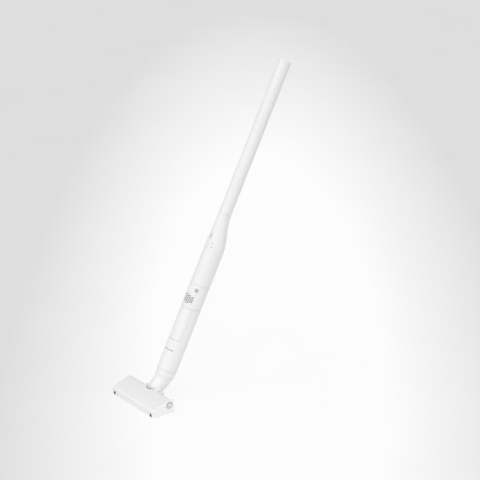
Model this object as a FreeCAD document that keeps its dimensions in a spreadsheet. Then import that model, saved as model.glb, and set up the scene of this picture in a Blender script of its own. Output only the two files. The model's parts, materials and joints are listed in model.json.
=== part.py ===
"""Cordless stick vacuum: floor head, steering neck, dust box, motor, battery and handle tube.

Row frame: +X to the lock-knob end of the floor head, -Y to its front, +Z up, millimetres.
The origin is on the floor, under the felt glide strip at the middle of the head.
Every piece of the stick is drawn in the stick's own upright frame (Z along the stick, Y to its
back) and is then leaned back by the one placement STICK.
"""
import FreeCAD, Part
import itertools
import math
import os
import re
import Sketcher
from FreeCAD import Placement, Rotation, Vector

doc = FreeCAD.newDocument("StickVacuum")
sizes = doc.addObject("Spreadsheet::Sheet", "Sizes")

DRIVING = {
    # the stick's frame: where its foot point is, and how far it leans back
    "lean": 27.4, "stick_y": 68.2, "stick_z": 23.3,
    # stick: radii and stations along its length
    "body_rad": 35.5, "body_wall": 2.2, "tube_rad": 22.4, "tube_wall": 2, "tube_shift": 13,
    "collar_start": 62, "swivel_seam": 82, "dust_seam": 316, "motor_seam": 400.6,
    "taper_start": 530, "taper_end": 664, "tube_top": 1225.2, "stick_top": 1231, "seam": 0.4,
    # neck: swivel spigot and cross drum
    "spigot_rad": 24, "spigot_bore": 20.5, "spigot_end": 116, "run_gap": 0.05, "clip_rad": 22,
    "drum_rad": 19, "drum_end_rad": 14, "drum_flat": 25, "drum_half": 34, "drum_wall": 2.2,
    "drum_y": 51, "drum_z": 32, "collar_rad": 34,
    # dust section
    "box_half": 30.6, "box_back": 10, "box_low": 195, "box_high": 311, "box_wall": 2, "fit_gap": 0.4,
    "filter_room": 24, "inlet_shift": 6, "inlet_bore": 13, "inlet_rad": 15, "floor_low": 189,
    "floor_high": 191, "press_wide": 23, "press_half": 14.4, "press_low": 156, "press_high": 192,
    "press_thick": 4.2,
    # motor section
    "vent_low": 327.3, "vent_high": 363.1, "vent_angle": 43.5, "vent_thick": 1.4,
    "slot_pitch": 7.7, "slot_rise": 2.5, "slot_reach": 14.4, "slot_turn": 10.7, "slot_wide": 4.9,
    "slot_high": 3.9, "slot_lean": 21, "motor_rad": 20, "shaft_rad": 2, "impeller_rad": 24,
    "shroud_rad": 24.8, "board_rad": 30, "window_side": 12.6, "window_mid": 381.5,
    # battery
    "cell_rad": 9.1, "cell_length": 65, "cell_pitch": 18.7, "case_rad": 31, "case_bore": 29.4,
    # handle
    "button_width": 6.6, "button_length": 18, "button_mid": 577.6, "light_rad": 1.8,
    # floor head
    "head_width": 250, "cap_thick": 6, "head_half": 41, "shell_wall": 2.2, "front_edge": 23.4,
    "front_top": 28.4, "roof_crown": 2, "back_top": 50, "back_edge": 44, "base_low": 1.2,
    "base_high": 6, "cap_back": 4.8, "recess_rad": 31.6, "cradle_gap": 0.6, "ear_rad": 10,
    "ear_in": 35.2, "ear_out": 45,
    # brush, its drive and the wheels
    "brush_y": -18, "brush_z": 14.2, "core_rad": 8, "bristle_rad": 13.5, "brush_half": 102,
    "journal_rad": 3, "drive_y": 20, "drive_z": 21, "drive_rad": 12, "big_pulley": 9,
    "small_pulley": 4.5, "belt_thick": 1.4, "roller_x": 109, "roller_y": -36.2, "roller_rad": 7,
    "roller_wide": 6, "fork_shift": 4.4, "fork_thick": 1.2, "pin_rad": 1.5, "wheel_x": 49.5,
    "wheel_y": 57, "wheel_rad": 8, "wheel_wide": 7,
    "knob_y": 26.6, "knob_z": 32.6, "knob_rad": 13, "knob_proud": 0.7,
}
for row, (word, number) in enumerate(DRIVING.items(), start=1):
    sizes.set(f"A{row}", word)
    sizes.set(f"B{row}", str(number))
    sizes.setAlias(f"B{row}", word)
doc.recompute()

QUARTER = 90
NODES = []

# the screws' places: in the sole as (x, y), and up the back of the dust section
SCREW_SPOTS = [("-90", "30"), ("90", "30"), ("-60", "-35.2"), ("60", "-35.2"), ("0", "-35.2")]
HOUSING_SCREWS = ("swivel_seam + 50", "floor_low - 10", "box_low + 54", "dust_seam - 12")


def cell(text):
    """An expression in the sheet's words, as another object has to write it."""
    return re.sub(r"\b([a-z]\w*)\b", r"Sizes.\1", text)


def size(text):
    """The present value of an expression in the sheet's words."""
    return float(sizes.evalExpression(text))


STICK = Placement(Vector(0, size("stick_y"), size("stick_z")), Rotation(Vector(1, 0, 0), -size("lean")))
ALONG_X = Rotation(Vector(0, 1, 0), QUARTER)
ALONG_Y = Rotation(Vector(1, 0, 0), -QUARTER)


def node(obj, name, place=None):
    """Name a finished piece, lean it back with the stick if it belongs there, and list it."""
    obj.Label = name
    if place is not None:
        obj.Placement = place
    NODES.append(obj)
    return obj


def bind(obj, **expressions):
    for prop, text in expressions.items():
        obj.setExpression(prop, cell(text))


def at(obj, x="0", y="0", z="0", turn=None):
    """Bind an object's position to the sheet, with an optional fixed turn."""
    if turn is not None:
        obj.Placement = Placement(Vector(), turn)
    for axis, text in zip("xyz", (x, y, z)):
        obj.setExpression(f".Placement.Base.{axis}", cell(text))
    return obj


def box(x0, x1, y0, y1, z0, z1):
    obj = doc.addObject("Part::Box", "Block")
    bind(obj, Length=f"({x1}) - ({x0})", Width=f"({y1}) - ({y0})", Height=f"({z1}) - ({z0})")
    return at(obj, x0, y0, z0)


def cylinder(rad, length, x="0", y="0", z="0", turn=None):
    obj = doc.addObject("Part::Cylinder", "Round")
    bind(obj, Radius=rad, Height=length)
    return at(obj, x, y, z, turn)


def rod_x(rad, x0, x1, y, z):
    return cylinder(rad, f"({x1}) - ({x0})", x0, y, z, ALONG_X)


def rod_y(rad, y0, y1, x, z):
    return cylinder(rad, f"({y1}) - ({y0})", x, y0, z, ALONG_Y)


def fuse(*parts):
    obj = doc.addObject("Part::MultiFuse", "Joined")
    obj.Shapes = list(parts)
    return obj


def common(*parts):
    obj = doc.addObject("Part::MultiCommon", "Shared")
    obj.Shapes = list(parts)
    return obj


def cut(base, *tools):
    obj = doc.addObject("Part::Cut", "Trimmed")
    obj.Base = base
    obj.Tool = tools[0] if len(tools) == 1 else fuse(*tools)
    return obj


def span(side, near, far):
    """The low and high ends, along X, of a stretch on the left (-1) or right (1) side."""
    return (near, far) if side > 0 else (f"-({far})", f"-({near})")


def group(*parts):
    """Separate solids that share one node."""
    obj = doc.addObject("Part::Compound", "Group")
    obj.Links = list(parts)
    return obj


def coded(shape):
    """A piece whose form is worked out here from the sheet's values."""
    obj = doc.addObject("Part::Feature", "Coded")
    obj.Shape = shape
    return obj


def sketch(body, role, points, offset=None):
    """A closed outline through points, each fixed by two expressions."""
    plane = [item for item in body.Origin.OriginFeatures if item.Role == role][0]
    outline = body.newObject("Sketcher::SketchObject", "Outline")
    outline.AttachmentSupport = [(plane, "")]
    outline.MapMode = "FlatFace"
    if offset is not None:
        outline.setExpression(".AttachmentOffset.Base.z", cell(offset))
    spots = [Vector(size(across), size(up), 0) for across, up in points]
    count = len(spots)
    outline.addGeometry([Part.LineSegment(spots[i], spots[(i + 1) % count]) for i in range(count)], False)
    outline.addConstraint([Sketcher.Constraint("Coincident", i, 2, (i + 1) % count, 1) for i in range(count)])
    for i, pair in enumerate(points):
        for kind, distance, text in zip(("DistanceX", "DistanceY"), spots[i], pair):
            fixed = outline.addConstraint(Sketcher.Constraint(kind, -1, 1, i, 1, distance))
            outline.setExpression(f"Constraints[{fixed}]", cell(text))
    return outline


def revolved(points):
    """A turned piece about its own Z axis; points are (radius, height)."""
    body = doc.addObject("PartDesign::Body", "Turned")
    outline = sketch(body, "XZ_Plane", points)
    turn = body.newObject("PartDesign::Revolution", "Turn")
    turn.Profile = outline
    turn.ReferenceAxis = (outline, ["V_Axis"])
    turn.Angle = 360
    return body


def ring(inner, outer, low, high):
    return revolved([(inner, low), (outer, low), (outer, high), (inner, high)])


def ring_x(inner, outer, x0, x1, y, z):
    """A ring about an axis along X."""
    return at(ring(inner, outer, "0", f"({x1}) - ({x0})"), x0, y, z, ALONG_X)


def padded(role, points, length, offset=None):
    """A flat outline padded evenly to both sides of its plane."""
    body = doc.addObject("PartDesign::Body", "Padded")
    outline = sketch(body, role, points, offset)
    pad = body.newObject("PartDesign::Pad", "Pad")
    pad.Profile = outline
    pad.Midplane = True
    bind(pad, Length=length)
    return body


def rounded(body, keep, radius):
    """Fillet the body's edges that the test keeps."""
    doc.recompute()
    base = body.Tip
    edges = [f"Edge{i + 1}" for i, edge in enumerate(base.Shape.Edges) if keep(edge)]
    fillet = body.newObject("PartDesign::Fillet", "Softened")
    fillet.Base = (base, edges)
    fillet.Radius = radius
    return body


def runs_along_x(edge):
    ends = [vertex.Point for vertex in edge.Vertexes]
    if len(ends) != 2:
        return False
    run = ends[0] - ends[1]
    return abs(run.x) > 1 and math.hypot(run.y, run.z) < 0.01


def circle_loft(sections):
    """A solid through level circles given as (radius, shift to the back, height)."""
    circles = []
    for radius, shift, height in sections:
        circle = doc.addObject("Part::Circle", "Section")
        circle.Radius = radius
        circle.Placement = Placement(Vector(0, shift, height), Rotation())
        circles.append(circle)
    loft = doc.addObject("Part::Loft", "Loft")
    loft.Sections = circles
    loft.Solid = True
    return loft


# ---------------------------------------------------------------- floor head

def head_outline(inset):
    """The head's side outline in YZ: low front, slightly crowned sloping roof, tall back."""
    inset = f"({inset})"
    half = f"head_half - {inset}"
    front = (f"-(head_half - 5 - {inset} * 0.2)", f"front_top - {inset}")
    back = (f"head_half - 7 - {inset} * 0.3", f"back_top - {inset}")
    roof = []
    for share in (0.25, 0.5, 0.75):
        across, up = (f"({start}) * {1 - share} + ({end}) * {share}" for start, end in zip(front, back))
        roof.append((across, f"{up} + roof_crown * {4 * share * (1 - share)}"))
    return [(f"-({half})", "base_high"), (f"-({half})", f"front_edge - {inset} * 0.3"), front, *roof, back,
            (half, f"back_edge - {inset} * 0.6"), (half, "base_high")]


def neck_sweep(grow):
    """The round-sided hollow that the neck sweeps as it pitches about the drum's axis."""
    half = 22
    wide = 30
    steps = 8
    profile = [("0", f"-{half}")]
    for i in range(steps + 1):
        across = half * (2 * i / steps - 1)
        drop = wide - math.sqrt(wide ** 2 - across ** 2)
        profile.append((f"recess_rad + {grow} - {drop:.3f}", f"{across}"))
    profile.append(("0", f"{half}"))
    return at(revolved(profile), "0", "drum_y", "drum_z", ALONG_X)


def recess_tool():
    """Room for the neck: a tight cradle round the drum, opening above the drum's middle."""
    left = "-drum_half - cradle_gap"
    right = "drum_half + cradle_gap"
    tight = rod_x("drum_rad + cradle_gap", left, right, "drum_y", "drum_z")
    wide = neck_sweep(0)
    above = box(left, right, "drum_y - recess_rad", "drum_y + recess_rad", "drum_z", "drum_z + 40")
    back = box(left, right, "drum_y", "drum_y + 40", "0", "drum_z + 40")
    return fuse(tight, common(wide, above), back)


def roller_slots():
    """Clear space in the front corners for the two front rollers."""
    slots = []
    for side in (-1, 1):
        middle = f"{side} * roller_x"
        slots.append(box(f"{middle} - roller_wide / 2 - 0.7", f"{middle} + roller_wide / 2 + 0.7",
                         "-head_half - 1", "roller_y + roller_rad + 0.8", "-1", "2 * roller_rad + 1"))
    return slots


def head_top_cover():
    outer = head_outline("0")
    inner = head_outline("shell_wall")
    shell = padded("YZ_Plane", outer + inner[::-1], "head_width - 2 * cap_thick - seam")
    rounded(shell, lambda edge: runs_along_x(edge) and outside(edge, outer[1:3]), 3)
    rounded(shell, lambda edge: runs_along_x(edge) and outside(edge, outer[-3:-1]), 7)
    ear_room = [rod_x("ear_rad + 0.3", *span(side, "drum_half", "ear_out + 0.3"), "drum_y", "drum_z")
                for side in (-1, 1)]
    ear_room.append(box("-ear_out - 0.3", "ear_out + 0.3", "36", "head_half + 1", "base_high - 1",
                        "drum_z + 6.3"))
    node(cut(shell, recess_tool(), *ear_room, *roller_slots()), "head_top_cover")


def outside(edge, outline):
    """True for an edge that lies on one of the outline's corners."""
    spot = edge.CenterOfMass
    return any(math.hypot(spot.y - size(y), spot.z - size(z)) < 0.05 for y, z in outline)


def head_base():
    length = "(head_width - 2 * cap_thick - seam) / 2"
    plate = box(f"-{length}", length, "-head_half", "head_half", "base_low", "base_high - 0.1")
    lining = padded("YZ_Plane", head_outline("shell_wall + 0.1"), "2 * drum_half + 2 * cradle_gap + 4")
    around = fuse(neck_sweep(2), rod_x("drum_rad + cradle_gap + 2", "-drum_half - cradle_gap - 2",
                                       "drum_half + cradle_gap + 2", "drum_y", "drum_z"))
    low_cradle = common(box("-ear_in", "ear_in", "0", "drum_y", "base_low", "drum_z"),
                        rod_x("drum_rad + cradle_gap + 2.4", "-ear_in", "ear_in", "drum_y", "drum_z"))
    ears = []
    for side in (-1, 1):
        inner, outer = span(side, "ear_in", "ear_out")
        ears.append(rod_x("ear_rad", inner, outer, "drum_y", "drum_z"))
        ears.append(box(inner, outer, "30", "wheel_y + 5", "base_low", "drum_z - 8"))
        ears.append(box(inner, outer, "30", "drum_y", "base_low", "drum_z + 6"))
    posts = []
    for side in (-1, 1):
        low, high = span(side, "104.6", "109.4")
        posts.append(box(low, high, "-26", "0", "base_low", "brush_z + 9"))
    tabs = []
    for side in (-1, 1):
        for way in (-1, 1):
            middle = f"{side} * roller_x + {way} * fork_shift"
            tabs.append(box(f"{middle} - fork_thick / 2", f"{middle} + fork_thick / 2", "-38.5", "-31",
                            "base_low", "11.5"))
    solid = fuse(plate, common(lining, around), low_cradle, *ears, *posts)
    mouth = box("-brush_half", "brush_half", "-33", "-3", "0", "base_high")
    belt_room = fuse(rod_x("big_pulley + belt_thick + 0.8", "-118", "-110", "brush_y", "brush_z"),
                     box("-118", "-110", "brush_y", "-4", "base_low + 1.6", "base_high"))
    duct = box("-26", "26", "15", "drum_y - 8", "17", "drum_z - 2")
    bearings = [rod_x("7", "-110", "110", "brush_y", "brush_z")]
    holes = [rod_x("5", "-ear_out - 1", "ear_out + 1", "drum_y", "drum_z"),
             rod_x("2", "-ear_out - 1", "ear_out + 1", "wheel_y", "wheel_rad")]
    screws = [cylinder("2", "10", x, y, "0") for x, y in SCREW_SPOTS]
    hollow = cut(solid, mouth, belt_room, duct, recess_tool(), *bearings, *holes, *screws, *roller_slots())
    framed = fuse(hollow, *tabs)
    node(cut(framed, *roller_rods()), "head_base")


def roller_rods():
    """The front rollers' pins, and the bores they sit in."""
    return [rod_x("pin_rad", f"{side} * roller_x - fork_shift - fork_thick / 2",
                  f"{side} * roller_x + fork_shift + fork_thick / 2", "roller_y", "roller_rad")
            for side in (-1, 1)]


def head_screws():
    heads = []
    for x, y in SCREW_SPOTS:
        heads.append(cylinder("2", "8", x, y, "base_low + 0.4"))
    node(group(*heads), "head_screws")


def end_cap(side):
    """A solid end plate with the head's side outline; the knob's plate, on +X, is deeper at the back."""
    middle = f"{side} * (head_width - cap_thick) / 2"
    outline = head_outline("0")
    outline[0] = (outline[0][0], "base_low")
    outline[-1] = (outline[-1][0], "base_low")
    if side > 0:
        outline[-3:] = [("head_half - 7 + cap_back", "back_top + 1"),
                        ("head_half + cap_back - 0.4", "back_edge + 2"), ("head_half + cap_back", "base_low")]
    plate = padded("YZ_Plane", outline, "cap_thick", middle)
    rounded(plate, lambda edge: abs(edge.CenterOfMass.x - side * size("head_width") / 2) < 0.01, 1.8)
    return plate


def head_caps():
    node(end_cap(-1), "head_left_cap")
    seat = rod_x("knob_rad + 0.3", "head_width / 2 - 3.5", "head_width / 2 + 2", "knob_y", "knob_z")
    hole = rod_x("4 + run_gap", "head_width / 2 - 7", "head_width / 2", "knob_y", "knob_z")
    node(cut(end_cap(1), seat, hole), "head_right_cap")


def brush_lock_knob():
    face = rod_x("knob_rad", "head_width / 2 - 3.3", "head_width / 2 + knob_proud", "knob_y", "knob_z")
    stub = rod_x("4", "head_width / 2 - 5.8", "head_width / 2 - 3.3", "knob_y", "knob_z")
    slot = box("head_width / 2 - 1", "head_width / 2 + 2", "knob_y - 8", "knob_y + 8",
               "knob_z - 1", "knob_z + 1")
    node(cut(fuse(face, stub), slot), "brush_lock_knob")


def brush():
    core = rod_x("core_rad", "-brush_half", "brush_half", "brush_y", "brush_z")
    journal = rod_x("journal_rad", "-117", "109", "brush_y", "brush_z")
    node(fuse(core, journal), "brush_core")
    node(coded(bristle_tufts()), "brush_bristles")
    pulley = ring_x("journal_rad", "big_pulley", "-117", "-110.4", "brush_y", "brush_z")
    node(pulley, "brush_pulley")
    for side, word in ((-1, "left"), (1, "right")):
        low, high = span(side, "104.8", "109")
        node(ring_x("journal_rad + run_gap", "7", low, high, "brush_y", "brush_z"), f"brush_bearing_{word}")


def bristle_tufts():
    """Four rows of round tufts that wind once round half of the core."""
    rows = 4
    tufts = 22
    centre = Vector(0, size("brush_y"), size("brush_z"))
    pieces = []
    for row_number in range(rows):
        for i in range(tufts):
            along = (i + 0.5) / tufts
            angle = math.radians(360 * row_number / rows + 180 * along)
            outward = Vector(0, math.cos(angle), math.sin(angle))
            foot = centre + outward * size("core_rad")
            foot.x = size("brush_half - 4") * (2 * along - 1)
            pieces.append(Part.makeCylinder(2, size("bristle_rad - core_rad"), foot, outward))
    return Part.makeCompound(pieces)


def brush_drive():
    can = ring_x("shaft_rad + run_gap", "drive_rad", "-100", "-48", "drive_y", "drive_z")
    node(can, "brush_motor")
    shaft = rod_x("shaft_rad", "-117", "-49", "drive_y", "drive_z")
    wheel = rod_x("small_pulley", "-117", "-110.4", "drive_y", "drive_z")
    node(fuse(shaft, wheel), "motor_pulley")
    node(coded(belt_loop()), "drive_belt")


def belt_loop():
    """A flat belt round two pulleys: two arcs joined by their outer tangents."""
    big = Vector(0, size("brush_y"), size("brush_z"))
    small = Vector(0, size("drive_y"), size("drive_z"))
    span = (small - big).Length
    towards = (small - big) / span
    across = Vector(1, 0, 0).cross(towards)

    def loop(grow):
        large = size("big_pulley + run_gap") + grow
        little = size("small_pulley + run_gap") + grow
        slope = math.asin((large - little) / span)
        rim = [towards * math.sin(slope) + across * side * math.cos(slope) for side in (1, -1)]
        over = Part.LineSegment(big + rim[0] * large, small + rim[0] * little)
        under = Part.LineSegment(small + rim[1] * little, big + rim[1] * large)
        nose = Part.Arc(over.EndPoint, small + towards * little, under.StartPoint)
        tail = Part.Arc(under.EndPoint, big - towards * large, over.StartPoint)
        return Part.Face(Part.Wire([curve.toShape() for curve in (over, nose, under, tail)]))

    band = loop(size("belt_thick")).cut(loop(0)).extrude(Vector(5, 0, 0))
    band.translate(Vector(-116.2, 0, 0))
    return band


def wheels():
    for side, word in ((-1, "left"), (1, "right")):
        roller = ring_x("pin_rad + run_gap", "roller_rad", f"{side} * roller_x - roller_wide / 2",
                        f"{side} * roller_x + roller_wide / 2", "roller_y", "roller_rad")
        node(roller, f"front_roller_{word}")
        wheel = ring_x("2 + run_gap", "wheel_rad", f"{side} * wheel_x - wheel_wide / 2",
                       f"{side} * wheel_x + wheel_wide / 2", "wheel_y", "wheel_rad")
        node(wheel, f"rear_wheel_{word}")
    node(group(*roller_rods()), "roller_pins")
    axles = []
    for side in (-1, 1):
        stem = rod_x("2", *span(side, "36", "53.4"), "wheel_y", "wheel_rad")
        head = rod_x("4", *span(side, "53.4", "54.6"), "wheel_y", "wheel_rad")
        axles.append(fuse(stem, head))
    node(group(*axles), "wheel_axles")


def head_soft_strips():
    glide = padded("YZ_Plane", [("-2", "0.5"), ("-1.5", "0"), ("6.5", "0"), ("7", "0.5"),
                                ("7", "base_low"), ("-2", "base_low")], "200")
    node(glide, "glide_strip")
    lip = padded("YZ_Plane", [("11", "base_low"), ("11.6", "0.3"), ("12.4", "0.3"), ("13", "base_low")],
                 "190")
    node(lip, "squeegee_strip")


def pivot_pins():
    pins = []
    for side in (-1, 1):
        pins.append(rod_x("5", *span(side, "30.6", "ear_out"), "drum_y", "drum_z"))
    node(group(*pins), "pivot_pins")


# ---------------------------------------------------------------- neck

def drum_in_stick():
    """The drum's centre in the stick's frame, as (to the back, along)."""
    lean = math.radians(size("lean"))
    rise = size("drum_z - stick_z")
    back = size("drum_y - stick_y")
    return back * math.cos(lean) - rise * math.sin(lean), rise * math.cos(lean) + back * math.sin(lean)


def neck_solid(inset):
    """The neck's outer form, or its inside when inset: an oblique taper under a round collar."""
    back, along = drum_in_stick()
    rim = size("collar_rad") - inset
    start = size("collar_start")
    taper = circle_loft([
        (rim, 0, start), (rim - 2.6, -2.4, start - 12), (rim - 3.8, -6.8, start - 26),
        (rim - 5.2, -13, start - 43), (size("drum_rad") - 0.5 - inset, back, along + 1.5)])
    collar = doc.addObject("Part::Cylinder", "Collar")
    collar.Radius = rim
    collar.Height = size("swivel_seam - seam / 2") - start + (1 if inset else 0)
    collar.Placement = Placement(Vector(0, 0, start), Rotation())
    return taper, collar


def drum_barrel(inset, back, along):
    """The cross drum about an axis along X: a round barrel whose two ends narrow."""
    end = f"drum_half - {inset}"
    middle = f"drum_rad - {inset}"
    tip = f"drum_end_rad - {inset}"
    barrel = revolved([("0", f"-({end})"), (tip, f"-({end})"), (middle, "-drum_flat"),
                       (middle, "drum_flat"), (tip, end), ("0", end)])
    return at(barrel, "0", str(back), str(along), ALONG_X)


def neck_shell():
    back, along = drum_in_stick()
    taper, collar = neck_solid(0)
    inner_taper, inner_collar = neck_solid(size("drum_wall"))
    holes = rod_x("8", "-drum_half - 1", "drum_half + 1", str(back), str(along))
    groove = ring("collar_rad - 0.35", "collar_rad + 1", "collar_start - seam / 2", "collar_start + seam / 2")
    solid = fuse(taper, collar, drum_barrel("0", back, along))
    node(cut(solid, inner_taper, inner_collar, drum_barrel("drum_wall", back, along), holes, groove,
             drum_mouth(back, along)), "neck_shell", STICK)


def drum_mouth(back, along):
    """The air opening: a sector of the drum that faces the head's duct at every pitch."""
    start = -14
    sweep = 104
    wedge = doc.addObject("Part::Cylinder", "Sector")
    wedge.Radius = size("drum_rad") + 0.2
    wedge.Height = 52
    wedge.Angle = sweep
    facing = Rotation(Vector(1, 0, 0), size("lean")).multiply(Rotation(Vector(1, 0, 0), 180 + start))
    lay = Rotation(Vector(0, 1, 0), Vector(0, 0, 1), Vector(1, 0, 0), "ZXY")
    wedge.Placement = Placement(Vector(-26, back, along), facing.multiply(lay))
    return wedge


def neck_small_parts():
    back, along = drum_in_stick()
    bushes = []
    for side in (-1, 1):
        low, high = span(side, "30.4", "drum_half")
        bushes.append(ring_x("5 + run_gap", "8", low, high, str(back), str(along)))
    node(group(*bushes), "pivot_bushes", STICK)
    spigot = revolved([
        ("spigot_bore", "collar_start + 4"), ("collar_rad - drum_wall", "collar_start + 4"),
        ("collar_rad - drum_wall", "collar_start + 8"), ("spigot_rad", "collar_start + 8"),
        ("spigot_rad", "spigot_end - 3.6"), ("clip_rad", "spigot_end - 3.6"),
        ("clip_rad", "spigot_end - 1.6"), ("spigot_rad", "spigot_end - 1.6"),
        ("spigot_rad", "spigot_end"), ("spigot_bore", "spigot_end")])
    node(spigot, "swivel_spigot", STICK)
    node(ring("clip_rad", "clip_rad + 5", "spigot_end - 3.5", "spigot_end - 1.7"), "swivel_clip", STICK)


# ---------------------------------------------------------------- dust section

def lower_housing():
    inner = "body_rad - body_wall"
    shell = ring(inner, "body_rad", "swivel_seam + seam / 2", "dust_seam - seam / 2")
    roof_low = "dust_seam - 4.6"
    deck = cut(cylinder("body_rad - 1", "floor_high - floor_low", "0", "0", "floor_low"),
               cylinder("inlet_rad", "10", "0", "-inlet_shift", "floor_low - 1"),
               box("-40", "40", "-40", "-24", "floor_low - 1", "floor_high + 1"))
    roof = cut(cylinder("body_rad - 1", "2", "0", "0", roof_low),
               cylinder("18", "10", "0", "-inlet_shift", f"{roof_low} - 1"))
    window = box("-box_half - fit_gap", "box_half + fit_gap", "-40", "box_back + fit_gap",
                 "box_low - fit_gap", "box_high + fit_gap")
    press = padded("XZ_Plane", [
        ("-press_wide - fit_gap - 0.35", "press_low - 1.6"),
        ("press_wide + fit_gap + 0.35", "press_low - 1.6"),
        ("press_half + fit_gap", "press_high + fit_gap"), ("-press_half - fit_gap", "press_high + fit_gap")],
        "20", "30")
    screws = [rod_y("2.2", "25", "40", "0", along) for along in HOUSING_SCREWS]
    node(cut(fuse(shell, deck, roof), window, press, *screws), "lower_housing", STICK)
    node(group(*[rod_y("2.2", "28", "body_rad - 0.5", "0", along) for along in HOUSING_SCREWS]),
         "housing_screws", STICK)


def swivel_bush():
    bore = "spigot_rad + run_gap"
    low = "swivel_seam + 2"
    high = "spigot_end - 4"
    node(revolved([(bore, low), ("body_rad - body_wall", low), ("body_rad - body_wall", f"{low} + 4"),
                   ("spigot_rad + 3.4", f"{low} + 4"), ("spigot_rad + 3.4", high), (bore, high)]),
         "swivel_bush", STICK)


def inlet_tube():
    tube = cut(cylinder("inlet_rad", "floor_high - spigot_end", "0", "-inlet_shift", "spigot_end + 2"),
               cylinder("inlet_bore", "floor_high - spigot_end + 2", "0", "-inlet_shift", "spigot_end + 1"))
    node(tube, "inlet_tube", STICK)


def dust_box():
    def block(inset, low, high, back):
        return common(cylinder(f"body_rad - {inset}", f"({high}) - ({low})", "0", "0", low),
                      box(f"-box_half + {inset}", f"box_half - {inset}", "-40", back, low, high))
    outer = block("0", "box_low", "box_high", "box_back")
    shelf = "box_high - filter_room"
    cavity = block("box_wall", "box_low + box_wall", f"{shelf} - box_wall", "box_back - box_wall")
    chamber = block("box_wall", shelf, "box_high + 1", "box_back - box_wall")
    passage = cylinder("inlet_bore", "6", "0", "-inlet_shift", f"{shelf} - 4")
    inlet = cylinder("inlet_bore", "6", "0", "-inlet_shift", "box_low - 2")
    notch = box("-9", "9", "-40", "-body_rad + 1.3", "box_low + 13", "box_low + 36.6")
    node(cut(outer, cavity, chamber, passage, inlet, notch), "dust_box", STICK)


def dust_box_inside():
    shelf = "box_high - filter_room"
    flap = common(cylinder("14.6", "1.2", "0", "-inlet_shift", "box_low + box_wall + 0.2"),
                  box("-14", "14", "-21", "7.6", "box_low", "box_low + 6"))
    hinge = rod_x("0.75", "-11", "11", "-20.6", "box_low + box_wall + 0.8")
    node(fuse(flap, hinge), "inlet_flap", STICK)
    frame = cut(box("-24", "24", "-20", "box_back - box_wall", shelf, f"{shelf} + 3"),
                cylinder("inlet_bore", "6", "0", "-inlet_shift", f"{shelf} - 1"))
    node(frame, "filter_frame", STICK)
    node(pleats(), "pleated_filter", STICK)
    seal = cut(cylinder("21", "dust_seam - 4.9 - box_high", "0", "-inlet_shift", "box_high + 0.3"),
               cylinder("18", "2", "0", "-inlet_shift", "box_high"))
    node(seal, "filter_seal", STICK)


def pleats():
    """A filter folded in even pleats across its width."""
    folds = 11
    half = 22
    step = 2 * half / folds
    lower = []
    upper = []
    for i in range(2 * folds + 1):
        across = -half + i * step / 2
        rise = 3.2 if i % 2 == 0 else 16.2
        lower.append((f"{across:.4f}", f"box_high - filter_room + {rise}"))
        upper.append((f"{across:.4f}", f"box_high - filter_room + {rise} + 2"))
    return padded("XZ_Plane", lower + upper[::-1], "26", "inlet_shift")


def release_button():
    inner = "body_rad - press_thick"
    wedge = padded("XZ_Plane", [("-press_wide", "press_low"), ("press_wide", "press_low"),
                                ("press_half", "press_high"), ("-press_half", "press_high")], "20", "30")
    pad = common(ring(inner, "body_rad", "press_low", "press_high"), wedge)
    lip = common(ring(inner, "body_rad + 1.2", "press_low", "press_low + 4"),
                 box("-press_wide + 1.2", "press_wide - 1.2", "-40", "-20", "press_low", "press_low + 4"))
    node(fuse(pad, lip), "release_button", STICK)
    springs = [box("-3", "3", "-body_rad + 7.6", "-body_rad + 8.2", "press_low + 6", "press_high - 8"),
               box("-3", "3", "-27.4", "-26.9", "button_mid - 7", "button_mid + 7")]
    node(group(*springs), "button_springs", STICK)


# ---------------------------------------------------------------- motor section

def sector(inner, outer, low, high, half_angle):
    """Part of a ring, evenly to both sides of the stick's front line."""
    width = 2 * half_angle
    turn = Rotation(Vector(0, 0, 1), -QUARTER - half_angle)
    whole = Part.makeCylinder(outer, high - low, Vector(), Vector(0, 0, 1), width)
    core = Part.makeCylinder(inner, high - low, Vector(), Vector(0, 0, 1), width)
    piece = whole.cut(core)
    piece.Placement = Placement(Vector(0, 0, low), turn)
    return piece


def vent_slots():
    """Short slots on a leaning lattice: each column sits a little above the one on its left."""
    columns = 8
    rows = 7
    wide = size("slot_wide")
    high = size("slot_high")
    middle = size("(vent_low + vent_high) / 2")
    slots = []
    for column, row in itertools.product(range(columns), range(rows)):
        across = column - (columns - 1) / 2
        level = size("slot_pitch") * (row - (rows - 1) / 2) + size("slot_rise") * across
        reach = size("slot_reach") - 0.35 * across ** 2
        if abs(level) > reach:
            continue
        slot = Part.makeBox(wide, 10, high, Vector(-wide / 2, -40, -high / 2))
        slot.rotate(Vector(), Vector(0, 1, 0), -size("slot_lean"))
        slot.translate(Vector(0, 0, middle + level))
        slot.rotate(Vector(), Vector(0, 0, 1), size("slot_turn") * across)
        slots.append(slot)
    return slots


def motor_housing():
    shell = ring("body_rad - body_wall", "body_rad", "dust_seam + seam / 2", "motor_seam - seam / 2")
    opening = coded(sector(20, 40, size("vent_low"), size("vent_high"), size("vent_angle")))
    node(cut(shell, opening, window_block("window_side / 2 + 0.15", 28, 41)), "motor_housing", STICK)
    gap = 0.25
    panel = sector(size("body_rad - vent_thick"), size("body_rad"), size("vent_low") + gap,
                   size("vent_high") - gap, size("vent_angle") - 0.5)
    node(coded(panel.cut(vent_slots())), "vent_grille", STICK)
    skin = cylinder("body_rad + 0.1", "40", "0", "0", "window_mid - 20")
    node(common(window_block("window_side / 2", 31.8, 37), skin), "status_window", STICK)


def window_block(half, near, far):
    """A square block on the status window's radius, 41 degrees round from the front."""
    side = 2 * size(half)
    block = Part.makeBox(side, far - near, side, Vector(-side / 2, -far, size("window_mid") - side / 2))
    block.rotate(Vector(), Vector(0, 0, 1), 41)
    return coded(block)


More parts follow.
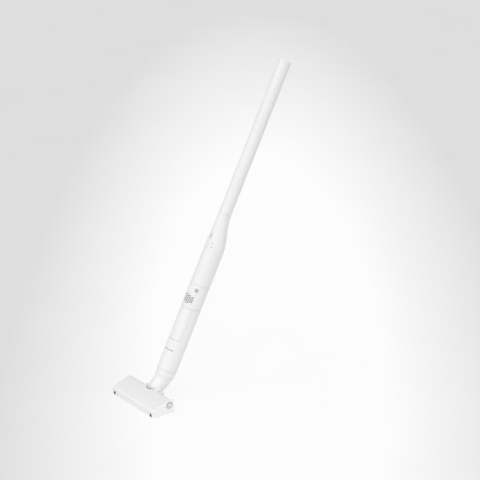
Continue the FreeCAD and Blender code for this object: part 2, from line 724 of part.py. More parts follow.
def fan_blades():
    """Nine swept blades round the impeller's hub."""
    count = 9
    blades = []
    for i in range(count):
        blade = Part.makeBox(1.2, size("impeller_rad - 9"), 8.8, Vector(-0.6, 0, 0))
        blade.rotate(Vector(), Vector(0, 0, 1), 25)
        blade.translate(Vector(0, 7, size("dust_seam") + 6.7))
        blade.rotate(Vector(), Vector(0, 0, 1), 360 * i / count)
        blades.append(coded(blade))
    return blades


def fan():
    fan_low = "dust_seam + 4.3"
    node(ring("shaft_rad + run_gap", "motor_rad", f"{fan_low} + 17", f"{fan_low} + 53"), "fan_motor", STICK)
    hub = fuse(cylinder("shaft_rad", "58", "0", "0", fan_low), cylinder("8", "9", "0", "0", f"{fan_low} + 2"),
               cylinder("impeller_rad", "1.5", "0", "0", f"{fan_low} + 11"))
    node(fuse(hub, *fan_blades()), "impeller", STICK)
    skirt = "body_rad - body_wall"
    node(revolved([("shroud_rad", fan_low), (skirt, fan_low), (skirt, f"{fan_low} + 2"),
                   ("shroud_rad + 1.6", f"{fan_low} + 2"), ("shroud_rad + 1.6", f"{fan_low} + 15"),
                   ("shroud_rad", f"{fan_low} + 15")]), "fan_shroud", STICK)
    mounts = [ring("motor_rad", "body_rad - body_wall", f"{fan_low} + {rise}", f"{fan_low} + {rise + 4}")
              for rise in (18, 48)]
    node(group(*mounts), "motor_mounts", STICK)
    foam = sector(27, size("body_rad - body_wall") - 0.2, size(fan_low) + 22.4, size(fan_low) + 47.6, 54)
    node(group(coded(foam)), "exhaust_foam", STICK)


def control_board():
    top = "motor_seam - 11"
    disc = cylinder("board_rad", "1.6", "0", "0", f"{top} - 1.6")
    parts = (("-14", "-10", 9, 2), ("4", "-16", 7, 1.5), ("2", "4", 12, 3), ("-16", "8", 8, 6))
    chips = [box(x, f"{x} + {wide}", y, f"{y} + {wide}", top, f"{top} + {high}")
             for x, y, wide, high in parts]
    node(fuse(disc, *chips), "control_board", STICK)


# ---------------------------------------------------------------- battery and handle

def smooth(share):
    return share * share * (3 - 2 * share)


def shoulder_sections(inset):
    """Circles that shrink to the tube and drift forward, so that the front stays straight."""
    start = size("taper_start")
    length = size("taper_end") - start
    steps = 8
    sections = []
    for i in range(steps + 1):
        share = i / steps
        eased = smooth(share)
        radius = size("body_rad") + (size("tube_rad") - size("body_rad")) * eased
        sections.append((radius - inset, -size("tube_shift") * eased, start + share * length))
    return sections


def battery_housing():
    wall = "body_wall"
    straight = cylinder("body_rad", "taper_start - motor_seam - seam / 2", "0", "0",
                        "motor_seam + seam / 2")
    hollow = cylinder(f"body_rad - {wall}", "taper_start - motor_seam + 2", "0", "0", "motor_seam - 2")
    button_slot = stadium("button_width / 2 + 0.35", "button_length + 0.7", "-40", "-20")
    shell = cut(fuse(straight, circle_loft(shoulder_sections(0))),
                hollow, circle_loft(shoulder_sections(size(wall))), *contact_holes("3"), button_slot,
                *light_rods("light_rad", "-40", "0"))
    node(shell, "battery_housing", STICK)
    node(group(*contact_holes("3", "31.6", "body_rad - 0.2")), "charge_contacts", STICK)


def contact_holes(rad, near="25", far="40"):
    return [rod_y(rad, near, far, "0", f"motor_seam + {rise}") for rise in (61, 77)]


def stadium(rad, length, near, far):
    """A rounded slot block across the stick's front, along its length."""
    half = f"(({length}) / 2 - ({rad}))"
    low = rod_y(rad, near, far, "0", f"button_mid - {half}")
    high = rod_y(rad, near, far, "0", f"button_mid + {half}")
    middle = box(f"-({rad})", rad, near, far, f"button_mid - {half}", f"button_mid + {half}")
    return fuse(low, middle, high)


def light_rods(rad, near, far):
    """Small round light guides, a little round from the front."""
    round_from_front = Rotation(Vector(0, 0, 1), 29)
    rods = []
    for along in (size("taper_start") + 10, size("taper_start") + 24):
        rod = doc.addObject("Part::Cylinder", "Light")
        rod.Radius = size(rad)
        rod.Height = size(far) - size(near)
        start = round_from_front.multVec(Vector(0, size(near), 0))
        rod.Placement = Placement(Vector(start.x, start.y, along), round_from_front.multiply(ALONG_Y))
        rods.append(rod)
    return rods


def battery():
    low = "motor_seam + 8"
    case = revolved([("0", low), ("case_rad", low), ("case_rad", f"{low} + 98"), ("case_bore", f"{low} + 98"),
                     ("case_bore", f"{low} + 2"), ("0", f"{low} + 2")])
    node(case, "battery_case", STICK)
    around = 6
    spots = [("0", "0")]
    for i in range(around):
        angle = math.radians(360 * i / around)
        spots.append((f"cell_pitch * {math.cos(angle):.6f}", f"cell_pitch * {math.sin(angle):.6f}"))
    cells = [cylinder("cell_rad", "cell_length", x, y, f"{low} + 12") for x, y in spots]
    node(group(*cells), "battery_cells", STICK)
    holders = []
    for shelf in (f"{low} + 8", f"{low} + 12.2 + cell_length"):
        disc = cylinder("case_bore", "3.8", "0", "0", shelf)
        holders.append(cut(disc, *[cylinder("6", "6", x, y, f"{shelf} - 1") for x, y in spots]))
    node(group(*holders), "cell_holders", STICK)
    board = f"{low} + 90"
    chips = [box("-12", "-2", "-6", "6", f"{board} + 1.6", f"{board} + 4"),
             box("4", "12", "-8", "0", f"{board} + 1.6", f"{board} + 3")]
    node(fuse(cylinder("case_bore - 0.5", "1.6", "0", "0", board), *chips), "battery_board", STICK)


def handle():
    plug = "tube_rad - body_wall - 0.1"
    inside = "tube_rad - tube_wall"
    tube = revolved([
        (f"{plug} - 1.8", "taper_end - 31"), (plug, "taper_end - 31"), (plug, "taper_end + seam"),
        ("tube_rad", "taper_end + seam"), ("tube_rad", "tube_top - seam / 2"),
        (inside, "tube_top - seam / 2"), (inside, "taper_end + 19"), (f"{plug} - 1.8", "taper_end + 19")])
    shifted = Placement(Vector(0, -size("tube_shift"), 0), Rotation())
    node(tube, "handle_tube", STICK.multiply(shifted))
    cap = revolved([("0", "tube_top - 10"), (inside, "tube_top - 10"), (inside, "tube_top"),
                     ("tube_rad", "tube_top"), ("tube_rad", "stick_top - 1.2"),
                     ("tube_rad - 1.2", "stick_top"), ("0", "stick_top")])
    node(cap, "handle_end_cap", STICK.multiply(shifted))
    node(stadium("button_width / 2", "button_length", "-body_rad + 0.3", "-29.4"), "power_button", STICK)
    node(group(*light_rods("light_rad", "-body_rad + 0.5", "-body_rad + 4")), "charge_lights", STICK)
    board = box("-9", "9", "-23.8", "-22.2", "button_mid - 18", "button_mid + 18")
    switch = box("-3", "3", "-24.8", "-23.8", "button_mid - 3", "button_mid + 3")
    node(fuse(board, switch), "switch_board", STICK)
    wire = cylinder("0.7", "button_mid - 18 - motor_seam + 6", "0", "-case_rad - 0.9", "motor_seam - 6")
    node(group(wire), "signal_wire", STICK)


def build():
    head_top_cover()
    head_base()
    head_screws()
    head_caps()
    brush_lock_knob()
    brush()
    brush_drive()
    wheels()
    head_soft_strips()
    pivot_pins()
    neck_shell()
    neck_small_parts()
    lower_housing()
    swivel_bush()
    inlet_tube()
    dust_box()
    dust_box_inside()
    release_button()
    motor_housing()
    fan()
    control_board()
    battery_housing()
    battery()
    handle()


def check():
    """Stop if anything failed to rebuild or a piece isn't a valid solid."""
    doc.recompute()
    for obj in doc.Objects:
        if "Invalid" in obj.State or "Error" in obj.State:
            raise RuntimeError(f"{obj.Label} did not rebuild: {obj.State}")
    for obj in NODES:
        shape = obj.Shape
        if shape.isNull() or not shape.isValid() or not shape.Solids:
            raise RuntimeError(f"{obj.Label} is not a valid solid")
        print(f"{obj.Label:22s} {len(shape.Solids):3d} solids {shape.Volume / 1000:9.2f} cm3")


def write():
    os.makedirs("parts", exist_ok=True)
    for obj in NODES:
        obj.Shape.exportStep(f"parts/{obj.Label}.step")
    print(f"{len(NODES)} nodes")


build()
check()
write()
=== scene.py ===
import json
import math
import random

import bmesh
import bpy
from mathutils import Matrix, Vector


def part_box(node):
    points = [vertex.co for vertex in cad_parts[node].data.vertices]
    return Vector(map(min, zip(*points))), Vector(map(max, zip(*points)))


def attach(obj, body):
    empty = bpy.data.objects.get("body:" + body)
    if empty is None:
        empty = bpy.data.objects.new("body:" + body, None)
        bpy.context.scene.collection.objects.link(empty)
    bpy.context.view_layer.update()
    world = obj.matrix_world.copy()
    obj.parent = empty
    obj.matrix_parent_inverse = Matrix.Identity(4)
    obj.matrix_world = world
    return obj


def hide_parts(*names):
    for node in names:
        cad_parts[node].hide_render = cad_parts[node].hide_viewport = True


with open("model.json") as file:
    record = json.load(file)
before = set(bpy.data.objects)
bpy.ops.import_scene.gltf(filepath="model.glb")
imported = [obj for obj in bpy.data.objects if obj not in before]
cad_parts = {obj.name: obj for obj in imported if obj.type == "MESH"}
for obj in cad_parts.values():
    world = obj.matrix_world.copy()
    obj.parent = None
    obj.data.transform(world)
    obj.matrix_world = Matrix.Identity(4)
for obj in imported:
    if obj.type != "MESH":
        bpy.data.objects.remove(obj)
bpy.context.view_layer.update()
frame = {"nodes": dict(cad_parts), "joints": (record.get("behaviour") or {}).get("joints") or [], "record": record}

NODES = frame["nodes"]
MM = 0.001
ROW_X = Vector((1, 0, 0))

# The stick's own frame, read from the swivel joint: a foot point, the way up the stick, and its back.
SWIVEL = next(j for j in frame["joints"] if j["name"] == "neck_swivel")
FOOT = Vector(SWIVEL["pos_m"])
UP = Vector(SWIVEL["axis"]).normalized()
BACK = UP.cross(ROW_X)


def stick(x, back, along):
    """A point given in the stick's frame, in millimetres, as a point of the row frame in metres."""
    return FOOT + (ROW_X * x + BACK * back + UP * along) * MM


def pose_of(origin, axis, side=ROW_X):
    """A matrix at origin whose Z runs along axis."""
    z = Vector(axis).normalized()
    x = (Vector(side) - z * z.dot(Vector(side))).normalized()
    turn = Matrix((x, z.cross(x), z)).transposed().to_4x4()
    return Matrix.Translation(origin) @ turn


# ---------------------------------------------------------------- materials

def shader(name):
    mat = bpy.data.materials.new(name)
    mat.use_nodes = True
    tree = mat.node_tree
    tree.nodes.clear()
    out = tree.nodes.new("ShaderNodeOutputMaterial")
    bsdf = tree.nodes.new("ShaderNodeBsdfPrincipled")
    tree.links.new(bsdf.outputs["BSDF"], out.inputs["Surface"])
    place = tree.nodes.new("ShaderNodeTexCoord").outputs["Object"]
    return mat, tree, bsdf, place


def noise(tree, place, scale, detail=2.0, stretch=None):
    if stretch is not None:
        mapping = tree.nodes.new("ShaderNodeMapping")
        mapping.inputs["Scale"].default_value = stretch
        tree.links.new(place, mapping.inputs["Vector"])
        place = mapping.outputs["Vector"]
    tex = tree.nodes.new("ShaderNodeTexNoise")
    tex.inputs["Scale"].default_value = scale
    tex.inputs["Detail"].default_value = detail
    tree.links.new(place, tex.inputs["Vector"])
    return tex.outputs["Fac"]


def cells(tree, place, scale, feature="F1"):
    tex = tree.nodes.new("ShaderNodeTexVoronoi")
    tex.feature = feature
    tex.inputs["Scale"].default_value = scale
    tree.links.new(place, tex.inputs["Vector"])
    return tex.outputs["Distance"]


def spread(tree, value, low, high, start=0.3, end=0.7):
    """Map a value's middle stretch onto low to high."""
    node = tree.nodes.new("ShaderNodeMapRange")
    for key, number in zip(("From Min", "From Max", "To Min", "To Max"), (start, end, low, high)):
        node.inputs[key].default_value = number
    tree.links.new(value, node.inputs["Value"])
    return node.outputs["Result"]


def tint(tree, value, dark, light, start=0.3, end=0.7):
    ramp = tree.nodes.new("ShaderNodeValToRGB")
    ramp.color_ramp.elements[0].position = start
    ramp.color_ramp.elements[1].position = end
    ramp.color_ramp.elements[0].color = (*dark, 1)
    ramp.color_ramp.elements[1].color = (*light, 1)
    tree.links.new(value, ramp.inputs["Fac"])
    return ramp.outputs["Color"]


def bumps(tree, bsdf, *layers, edge=0.0):
    """Stack bump layers of (height, depth in metres) over edges softened to a radius in metres."""
    below = None
    if edge:
        soft = tree.nodes.new("ShaderNodeBevel")
        soft.samples = 6
        soft.inputs["Radius"].default_value = edge
        below = soft.outputs["Normal"]
    for height, depth in layers:
        node = tree.nodes.new("ShaderNodeBump")
        node.inputs["Distance"].default_value = depth
        tree.links.new(height, node.inputs["Height"])
        if below is not None:
            tree.links.new(below, node.inputs["Normal"])
        below = node.outputs["Normal"]
    tree.links.new(below, bsdf.inputs["Normal"])


def grey(level):
    return (level, level, level)


def moulded(name, light, dark=None, rough=0.4, grain=1400, depth=4e-6, coat=0.0, edge=0.0006):
    """Moulded plastic: spark-eroded grain, slow flow marks and uneven gloss."""
    dark = light * 0.975 if dark is None else dark
    uneven = 0.07
    mat, tree, bsdf, place = shader(name)
    flow = noise(tree, place, 7, 3, (1, 1, 0.35))
    tree.links.new(tint(tree, flow, grey(dark), grey(light)), bsdf.inputs["Base Color"])
    gloss = noise(tree, place, 55, 4)
    tree.links.new(spread(tree, gloss, rough - uneven, rough + uneven), bsdf.inputs["Roughness"])
    fine = noise(tree, place, grain, 3)
    bumps(tree, bsdf, (fine, depth), (noise(tree, place, 26, 2), depth * 2), edge=edge)
    bsdf.inputs["Coat Weight"].default_value = coat
    bsdf.inputs["Coat Roughness"].default_value = 0.18
    return mat


def rubber(name, level):
    mat, tree, bsdf, place = shader(name)
    wear = noise(tree, place, 160, 4)
    tree.links.new(tint(tree, wear, grey(level), grey(level * 1.5)), bsdf.inputs["Base Color"])
    tree.links.new(spread(tree, noise(tree, place, 300, 3), 0.55, 0.8), bsdf.inputs["Roughness"])
    bumps(tree, bsdf, (noise(tree, place, 700, 4), 3e-5))
    bsdf.inputs["Specular IOR Level"].default_value = 0.35
    return mat


def metal(name, colour, rough):
    mat, tree, bsdf, place = shader(name)
    lines = noise(tree, place, 90, 4, (1, 1, 12))
    dark = tuple(c * 0.8 for c in colour)
    tree.links.new(tint(tree, lines, dark, colour), bsdf.inputs["Base Color"])
    tree.links.new(spread(tree, lines, rough - 0.08, rough + 0.12), bsdf.inputs["Roughness"])
    bumps(tree, bsdf, (lines, 6e-6), edge=0.0002)
    bsdf.inputs["Metallic"].default_value = 1
    return mat


def felt():
    mat, tree, bsdf, place = shader("felt")
    fibre = noise(tree, place, 900, 6, (0.4, 1, 1))
    tree.links.new(tint(tree, fibre, grey(0.12), grey(0.3)), bsdf.inputs["Base Color"])
    tree.links.new(spread(tree, fibre, 0.85, 1.0), bsdf.inputs["Roughness"])
    bumps(tree, bsdf, (fibre, 2.5e-4), (noise(tree, place, 260, 5, (1, 0.3, 1)), 2e-4))
    bsdf.inputs["Sheen Weight"].default_value = 0.5
    return mat


def filter_paper():
    mat, tree, bsdf, place = shader("filter_paper")
    fibre = noise(tree, place, 420, 6, (1, 0.35, 1))
    tree.links.new(tint(tree, fibre, (0.66, 0.64, 0.58), (0.86, 0.85, 0.8)), bsdf.inputs["Base Color"])
    tree.links.new(spread(tree, fibre, 0.8, 0.95), bsdf.inputs["Roughness"])
    bumps(tree, bsdf, (fibre, 1.2e-4))
    return mat


def foam():
    mat, tree, bsdf, place = shader("foam")
    pores = cells(tree, place, 700)
    tree.links.new(tint(tree, pores, grey(0.008), grey(0.03), 0.1, 0.6), bsdf.inputs["Base Color"])
    tree.links.new(spread(tree, pores, 0.8, 1.0, 0, 1), bsdf.inputs["Roughness"])
    bumps(tree, bsdf, (pores, 6e-4))
    return mat


def circuit_board():
    mat, tree, bsdf, place = shader("circuit_board")
    tracks = cells(tree, place, 260, "DISTANCE_TO_EDGE")
    colour = tint(tree, tracks, (0.03, 0.15, 0.06), (0.015, 0.08, 0.035), 0.02, 0.08)
    tree.links.new(colour, bsdf.inputs["Base Color"])
    tree.links.new(spread(tree, noise(tree, place, 120, 3), 0.25, 0.45), bsdf.inputs["Roughness"])
    bumps(tree, bsdf, (tracks, 4e-5))
    return mat


def cell_wrap():
    mat, tree, bsdf, place = shader("cell_wrap")
    folds = noise(tree, place, 45, 3, (1, 1, 0.25))
    tree.links.new(tint(tree, folds, (0.02, 0.1, 0.22), (0.03, 0.16, 0.33)), bsdf.inputs["Base Color"])
    tree.links.new(spread(tree, folds, 0.22, 0.36), bsdf.inputs["Roughness"])
    bumps(tree, bsdf, (folds, 8e-5))
    return mat


def bristle():
    mat, tree, bsdf, place = shader("bristle")
    shade = noise(tree, place, 380, 3)
    tree.links.new(tint(tree, shade, grey(0.035), grey(0.12)), bsdf.inputs["Base Color"])
    tree.links.new(spread(tree, shade, 0.3, 0.5), bsdf.inputs["Roughness"])
    bumps(tree, bsdf, (noise(tree, place, 2500, 2), 6e-6))
    return mat


def display_glass():
    mat, tree, bsdf, place = shader("window_grey")
    behind = noise(tree, place, 500, 2)
    tree.links.new(tint(tree, behind, grey(0.38), grey(0.45)), bsdf.inputs["Base Color"])
    tree.links.new(spread(tree, noise(tree, place, 90, 3), 0.1, 0.2), bsdf.inputs["Roughness"])
    bumps(tree, bsdf, (noise(tree, place, 300, 2), 3e-6))
    bsdf.inputs["Coat Weight"].default_value = 0.6
    return mat


MATERIALS = {
    "shell_white": moulded("shell_white", 0.75, rough=0.38, coat=0.12),
    "head_white": moulded("head_white", 0.75, rough=0.42, edge=0.0012),
    "cap_white": moulded("cap_white", 0.82, rough=0.4, edge=0.0012),
    "base_grey": moulded("base_grey", 0.77, rough=0.55, grain=900, depth=1.2e-5),
    "knob_grey": moulded("knob_grey", 0.56, rough=0.45, edge=0.0003),
    "dark_plastic": moulded("dark_plastic", 0.035, 0.02, rough=0.45),
    "mid_plastic": moulded("mid_plastic", 0.3, rough=0.5, grain=800, depth=1e-5),
    "window_grey": display_glass(),
    "light_guide": moulded("light_guide", 0.3, rough=0.25),
    "black_rubber": rubber("black_rubber", 0.02),
    "grey_rubber": rubber("grey_rubber", 0.16),
    "steel": metal("steel", (0.6, 0.6, 0.61), 0.3),
    "motor_steel": metal("motor_steel", (0.42, 0.42, 0.43), 0.4),
    "contact_metal": metal("contact_metal", (0.8, 0.62, 0.36), 0.25),
    "cell_wrap": cell_wrap(),
    "board_green": circuit_board(),
    "filter_paper": filter_paper(),
    "foam": foam(),
    "felt": felt(),
    "bristle": bristle(),
}
SLOT_OF = {part["node"]: part["material_slot"] for part in frame["record"]["subparts"]}


def dress(obj, slot_name):
    obj.data.materials.clear()
    obj.data.materials.append(MATERIALS[slot_name])


for node_name, obj in NODES.items():
    dress(obj, SLOT_OF[node_name])


# ---------------------------------------------------------------- mesh tools

def piece(name, verts, faces, body, slot_name, stands_for, smooth, matrix=None):
    """A new mesh that rides on a body and stands for CAD nodes. Edges over smooth degrees stay sharp."""
    mesh = bpy.data.meshes.new(name)
    mesh.from_pydata([tuple(v) for v in verts], [], faces)
    if matrix is not None:
        mesh.transform(matrix)
    mesh.validate()
    bm = bmesh.new()
    bm.from_mesh(mesh)
    bmesh.ops.recalc_face_normals(bm, faces=bm.faces)
    bm.to_mesh(mesh)
    bm.free()
    obj = bpy.data.objects.new(name, mesh)
    bpy.context.scene.collection.objects.link(obj)
    mesh.shade_smooth()
    mesh.set_sharp_from_angle(angle=math.radians(smooth))
    mesh.materials.append(MATERIALS[slot_name])
    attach(obj, body)
    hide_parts(*stands_for)


def turned(profile, steps):
    """Verts and faces of a closed profile of (radius, height) turned about Z, in the profile's units."""
    verts, faces, rings = [], [], []
    for radius, height in profile:
        if radius == 0:
            rings.append([len(verts)] * steps)
            verts.append(Vector((0, 0, height)))
        else:
            rings.append(list(range(len(verts), len(verts) + steps)))
            verts += [Vector((radius * math.cos(2 * math.pi * i / steps),
                              radius * math.sin(2 * math.pi * i / steps), height)) for i in range(steps)]
    for a, b in zip(rings, rings[1:] + rings[:1]):
        for i in range(steps):
            j = (i + 1) % steps
            loop = list(dict.fromkeys((a[i], a[j], b[j], b[i])))
            if len(loop) > 2:
                faces.append(loop)
    return verts, faces


def bands(rows, around):
    """Faces between rows of as many verts each, and one face over each end."""
    faces = []
    for row in range(rows - 1):
        for k in range(around):
            a, b = row * around + k, row * around + (k + 1) % around
            faces.append((a, b, b + around, a + around))
    faces.append(tuple(range(around)))
    faces.append(tuple(range((rows - 1) * around, rows * around)))
    return faces


def copies(shape, places):
    """One shape of verts and faces repeated at several places."""
    verts, faces = [], []
    for place in places:
        faces += [[i + len(verts) for i in face] for face in shape[1]]
        verts += [place @ v for v in shape[0]]
    return verts, faces


def scaled(verts):
    return [v * MM for v in verts]


# ---------------------------------------------------------------- bristles

def bristle_brush():
    """Filaments standing in round tufts, in the four winding rows that the brush's solid has."""
    rng = random.Random(7)
    tuft_low, tuft_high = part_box("brush_bristles")
    joint = next(j for j in frame["joints"] if j["name"] == "brush_spin")
    centre = Vector(joint["pos_m"])
    tip = (tuft_high.z - tuft_low.z) / 2 - 0.0003
    root = 0.0078
    rows, tufts, strands = 4, 22, 46
    tuft_rad = 0.0018
    strand_rad = 0.00011
    levels, sides = 4, 3
    walls = bands(levels, sides)
    del walls[-2]  # the root stays open, inside the core
    first, last = tuft_low.x + 0.002, tuft_high.x - 0.002
    verts, faces = [], []
    for row in range(rows):
        for i in range(tufts):
            along = (i + 0.5) / tufts
            turn = math.radians(360 * row / rows + 180 * along)
            out = Vector((0, math.cos(turn), math.sin(turn)))
            side = ROW_X.cross(out)
            x = first + (last - first) * i / (tufts - 1)
            for _ in range(strands):
                spin = rng.uniform(0, 2 * math.pi)
                off = tuft_rad * math.sqrt(rng.random())
                start = ROW_X * off * math.cos(spin) + side * off * math.sin(spin)
                lean = start * rng.uniform(0.1, 0.55) + side * rng.uniform(-0.0004, 0.0004)
                length = (tip - root) * rng.uniform(0.93, 1.0)
                base = centre + start + out * root
                base.x += x - centre.x
                n = len(verts)
                for level in range(levels):
                    t = level / (levels - 1)
                    middle = base + out * length * t + lean * t * t
                    rad = strand_rad * (1 - 0.35 * t)
                    for k in range(sides):
                        a = 2 * math.pi * k / sides
                        verts.append(middle + (ROW_X * math.cos(a) + side * math.sin(a)) * rad)
                faces += [[n + k for k in face] for face in walls]
    piece("bristle_tufts", verts, faces, "brush", "bristle", ["brush_bristles"], 80)


# ---------------------------------------------------------------- screws

def screw_head(rad, high):
    """A pan head with a cross recess, its face at z 0 and its rim below, in millimetres."""
    bm = bmesh.new()
    steps = 40
    arm, width = rad * 0.62, rad * 0.17
    cross = [(width, width), (arm, width), (arm, -width), (width, -width), (width, -arm), (-width, -arm),
             (-width, -width), (-arm, -width), (-arm, width), (-width, width), (-width, arm), (width, arm)]
    top = [bm.verts.new((x, y, 0)) for x, y in cross]
    floor = [bm.verts.new((x * 0.8, y * 0.8, -high * 0.6)) for x, y in cross]
    rings = []
    for share, drop in ((0.8, 0), (0.93, 0.06 * high), (1, 0.25 * high), (1, high)):
        turns = [2 * math.pi * i / steps for i in range(steps)]
        rings.append([bm.verts.new((rad * share * math.cos(turn), rad * share * math.sin(turn), -drop))
                      for turn in turns])
    edges = [bm.edges.new((ring[i], ring[(i + 1) % len(ring)])) for ring in (top, rings[0])
             for i in range(len(ring))]
    bmesh.ops.triangle_fill(bm, use_beauty=True, edges=edges)
    for a, b in [(top, floor)] + list(zip(rings, rings[1:])):
        for i in range(len(a)):
            j = (i + 1) % len(a)
            bm.faces.new((a[i], a[j], b[j], b[i]))
    bm.faces.new(floor)
    bm.verts.index_update()
    verts = [v.co.copy() for v in bm.verts]
    faces = [[v.index for v in f.verts] for f in bm.faces]
    bm.free()
    return verts, faces


def screws():
    """Cross-recess screws, each stopped at its own turn: five in the sole, four up the stick's back."""
    rng = random.Random(3)
    sole_spots = ((-90, 30), (90, 30), (-60, -35.2), (60, -35.2), (0, -35.2))
    sole_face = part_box("head_screws")[0].z / MM + 0.02
    back_face = 34.95
    back_stations = (132, 179, 249, 304)

    def driven(spot, axis):
        return pose_of(spot, axis) @ Matrix.Rotation(rng.uniform(0, math.pi), 4, "Z")

    places = [driven(Vector((x, y, sole_face)), (0, 0, -1)) for x, y in sole_spots]
    verts, faces = copies(screw_head(1.95, 1.4), places)
    piece("sole_screws", scaled(verts), faces, "head", "steel", ["head_screws"], 35)
    places = [driven(stick(0, back_face, along) / MM, BACK) for along in back_stations]
    verts, faces = copies(screw_head(2.15, 1.6), places)
    piece("back_screws", scaled(verts), faces, "stick", "steel", ["housing_screws"], 35)


# ---------------------------------------------------------------- wheels

def wheel(name, slot_name, bore):
    """A tyre with rounded shoulders, two tread grooves and a dished hub. Node and body share a name."""
    low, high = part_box(name)
    centre = (low + high) / 2
    rad = (high.z - low.z) / 2 / MM
    half = (high.x - low.x) / 2 / MM
    tread = rad - 0.35
    outer = [(rad - 0.9, -half), (tread, -half + 0.12), (rad, -half + 0.7)]
    for groove in (-half * 0.32, half * 0.32):
        outer += [(rad, groove - 0.3), (tread, groove - 0.16), (tread, groove + 0.16), (rad, groove + 0.3)]
    outer += [(rad, half - 0.7), (tread, half - 0.12), (rad - 0.9, half)]
    hub = rad * 0.62
    dish = [(hub, half), (hub - 0.3, half - 0.45), (bore + 0.9, half - 0.45), (bore + 0.7, half - 0.1),
            (bore, half - 0.1)]
    inner = dish + [(radius, -height) for radius, height in reversed(dish)]
    verts, faces = turned(outer + inner, 72)
    place = pose_of(centre, ROW_X, (0, 0, 1))
    piece(f"{name}_tyre", scaled(verts), faces, name, slot_name, [name], 35, place)


# ---------------------------------------------------------------- small controls

def lozenge(rad, length, levels):
    """A round-ended block along X, in millimetres: levels of (inset, height) from its foot to its crown."""
    steps = 24
    half = length / 2 - rad
    verts = []
    for inset, height in levels:
        for end in (1, -1):
            for i in range(steps + 1):
                turn = math.pi * (i / steps - 0.5)
                verts.append(Vector((end * (half + (rad - inset) * math.cos(turn)),
                                     end * (rad - inset) * math.sin(turn), height)))
    return verts, bands(len(levels), 2 * (steps + 1))


def lock_dial():
    """The brush's lock knob: a ribbed ring, a raised bar to turn it by and a small dark dot by its rim."""
    low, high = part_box("brush_lock_knob")
    face = Vector((high.x, (low.y + high.y) / 2, (low.z + high.z) / 2))
    place = pose_of(face, ROW_X, (0, -1, 0))
    rad = (high.z - low.z) / 2 / MM
    deep = (high.x - low.x) / MM
    stem, flange = 4, 4
    ribs, rib_depth = 48, 0.016
    profile = [(0, -1.3), (8.4, -1.3), (8.9, -1.1), (9.2, -0.3), (9.6, -0.05), (10, 0), (rad - 1, 0),
               (rad - 0.4, -0.12), (rad - 0.08, -0.45), (rad, -0.9), (rad, -flange), (stem, -flange),
               (stem, -deep), (0, -deep)]
    verts, faces = turned(profile, 288)
    for v in verts:
        if math.hypot(v.x, v.y) > rad - 0.5:
            dip = 0.5 - 0.5 * math.cos(ribs * math.atan2(v.y, v.x))
            v.x *= 1 - rib_depth * dip
            v.y *= 1 - rib_depth * dip
    piece("lock_dial", scaled(verts), faces, "lock_knob", "knob_grey", ["brush_lock_knob"], 30, place)
    crown = [(0, -1.4), (0, -0.75), (0.12, -0.4), (0.4, -0.15), (0.9, -0.05), (1.5, -0.02)]
    verts, faces = lozenge(2.7, 16.6, crown)
    piece("lock_dial_bar", scaled(verts), faces, "lock_knob", "cap_white", ["brush_lock_knob"], 30, place)
    verts, faces = turned([(0, 0.02), (0.95, 0.01), (1.2, -0.08), (1.25, -0.4), (0, -0.4)], 32)
    spot = place @ Matrix.Translation(Vector((11.2, -2.6, 0)) * MM)
    piece("lock_dial_dot", scaled(verts), faces, "lock_knob", "dark_plastic", ["brush_lock_knob"], 30, spot)


def power_pad():
    """The power button: a long pad with a soft rim and a shallow dish for a fingertip."""
    low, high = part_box("power_button")
    wide = (high.x - low.x) / MM
    long = 17.9
    deep = 5.8
    front = (low + high) / 2 - BACK * deep / 2 * MM
    rim = [(0, -deep), (0, -0.6), (0.12, -0.22), (0.45, -0.02), (0.8, 0)]
    dish = [(1.5, -0.14), (2.3, -0.26), (2.8, -0.3)]
    verts, faces = lozenge(wide / 2, long, rim + dish)
    piece("power_pad", scaled(verts), faces, "power_button", "knob_grey", ["power_button"], 30,
          pose_of(front, -BACK, UP))


def contact_studs():
    """Two domed charging contacts on the back of the battery section."""
    mount = next(m for m in frame["record"]["mounts"] if m["name"] == "dock_contacts")
    middle = Vector(mount["pos_m"])
    apart = 8
    dome = [(0, 0), (1.2, -0.04), (2, -0.2), (2.5, -0.5), (2.75, -0.95), (2.8, -3.6), (0, -3.6)]
    verts, faces = turned(dome, 48)
    places = [pose_of(middle + UP * step * MM, BACK) for step in (-apart, apart)]
    verts, faces = copies((scaled(verts), faces), places)
    piece("contact_studs", verts, faces, "stick", "contact_metal", ["charge_contacts"], 30)


def brush_roller():
    """The brush core: four lobes that wind with the tuft rows, between two journals."""
    low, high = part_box("brush_core")
    centre = (low + high) / 2
    rad = (high.z - low.z) / 2
    journal = 0.003
    groove_depth = 0.0009
    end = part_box("brush_bearing_right")[0].x - 0.0028
    around, along = 96, 140
    rows = [(low.x, journal, 0), (-end, journal, 0)]
    rows += [(-end + 2 * end * i / along, rad, groove_depth) for i in range(along + 1)]
    rows += [(end, journal, 0), (high.x, journal, 0)]
    verts = []
    for x, radius, groove in rows:
        turn = math.pi * (x + end) / (2 * end)
        for k in range(around):
            a = 2 * math.pi * k / around
            r = radius - groove * (0.5 - 0.5 * math.cos(4 * (a - turn))) ** 2
            verts.append((x, centre.y + r * math.cos(a), centre.z + r * math.sin(a)))
    piece("brush_roller", verts, bands(len(rows), around), "brush", "mid_plastic", ["brush_core"], 40)


# ---------------------------------------------------------------- studio

CAMERA_AZIMUTH = 52.49
CAMERA_ELEVATION = 22.29
CAMERA_AIM = (0, 0.4279, 0.5048)
CAMERA_DISTANCE = 7
CAMERA_LENS = 149.9
# name, azimuth, elevation, strength, and the angle the light seems wide
SUNS = (("key", 15, 50, 1.7, 80), ("fill", 100, 30, 0.95, 80), ("side", -50, 12, 0.45, 60),
        ("top", 60, 85, 0.15, 90))
AIR_STRENGTH = 0.4
FLOOR_HALF = 60
# a long oval pool of painted light on the floor (emission, no lamp), which lies along the camera's view
POOL_CENTRE = (-0.18, 0.69, 0)
POOL_SIZE = (1.5, 7, 1)
POOL_RIM, POOL_HEART = 0.6, 0.845


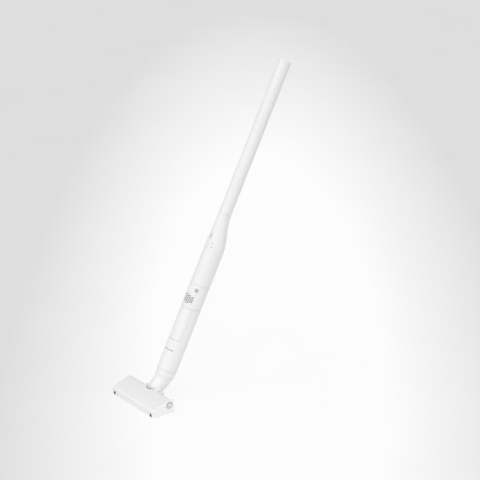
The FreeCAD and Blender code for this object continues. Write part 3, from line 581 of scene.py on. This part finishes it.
def towards(azimuth, elevation):
    """The way from the object to something seen at that azimuth and elevation."""
    a, e = math.radians(azimuth), math.radians(elevation)
    return Vector((math.sin(a) * math.cos(e), -math.cos(a) * math.cos(e), math.sin(e)))


def floor_material():
    """A pale floor that glows a little in an oval pool of painted light, so that it reads as a lit backdrop; the
    glow also fades the cast shadows on it.
    """
    mat, tree, bsdf, place = shader("studio_floor")
    middle = tree.nodes.new("ShaderNodeMapping")
    middle.vector_type = "TEXTURE"
    middle.inputs["Location"].default_value = POOL_CENTRE
    middle.inputs["Rotation"].default_value = (0, 0, math.radians(CAMERA_AZIMUTH))
    middle.inputs["Scale"].default_value = POOL_SIZE
    tree.links.new(place, middle.inputs["Vector"])
    pool = tree.nodes.new("ShaderNodeTexGradient")
    pool.gradient_type = "SPHERICAL"
    tree.links.new(middle.outputs["Vector"], pool.inputs["Vector"])
    # painted light: the floor's own emission, brightest in the pool's heart
    glow = tint(tree, pool.outputs["Fac"], grey(POOL_RIM), grey(POOL_HEART), 0.36, 0.72)
    tree.links.new(glow, bsdf.inputs["Emission Color"])
    bsdf.inputs["Emission Strength"].default_value = 1.0
    speckle = noise(tree, place, 3, 3)
    tree.links.new(tint(tree, speckle, grey(0.12), grey(0.13)), bsdf.inputs["Base Color"])
    tree.links.new(spread(tree, speckle, 0.7, 0.9), bsdf.inputs["Roughness"])
    bsdf.inputs["Specular IOR Level"].default_value = 0.0
    return mat


def studio():
    scene = bpy.context.scene
    scene.view_settings.view_transform = "Standard"
    mesh = bpy.data.meshes.new("studio_floor")
    corners = [(x * FLOOR_HALF, y * FLOOR_HALF, 0) for x, y in ((-1, -1), (1, -1), (1, 1), (-1, 1))]
    mesh.from_pydata(corners, [], [(0, 1, 2, 3)])
    mesh.materials.append(floor_material())
    floor = bpy.data.objects.new("studio_floor", mesh)
    scene.collection.objects.link(floor)
    world = bpy.data.worlds.new("studio_air")
    world.use_nodes = True
    world.node_tree.nodes["Background"].inputs["Color"].default_value = (1, 1, 1, 1)
    world.node_tree.nodes["Background"].inputs["Strength"].default_value = AIR_STRENGTH
    scene.world = world
    for name, azimuth, elevation, strength, angle in SUNS:
        sun = bpy.data.lights.new(name, "SUN")
        sun.energy = strength
        sun.angle = math.radians(angle)
        lamp = bpy.data.objects.new(name, sun)
        scene.collection.objects.link(lamp)
        lamp.matrix_world = pose_of((0, 0, 3), towards(azimuth, elevation))


def camera():
    cam = bpy.data.cameras.new("camera")
    cam.lens = CAMERA_LENS
    cam.sensor_width = 36
    cam.clip_start, cam.clip_end = 0.1, 200
    obj = bpy.data.objects.new("camera", cam)
    bpy.context.scene.collection.objects.link(obj)
    back = towards(CAMERA_AZIMUTH, CAMERA_ELEVATION)
    obj.rotation_mode = "QUATERNION"
    obj.location = Vector(CAMERA_AIM) + back * CAMERA_DISTANCE
    obj.rotation_quaternion = (-back).to_track_quat("-Z", "Y")
    bpy.context.scene.camera = obj


bristle_brush()
brush_roller()
screws()
lock_dial()
power_pad()
contact_studs()
wheel("front_roller_left", "black_rubber", 1.6)
wheel("front_roller_right", "black_rubber", 1.6)
wheel("rear_wheel_left", SLOT_OF["rear_wheel_left"], 2.1)
wheel("rear_wheel_right", SLOT_OF["rear_wheel_right"], 2.1)
studio()
camera()

bpy.context.view_layer.update()
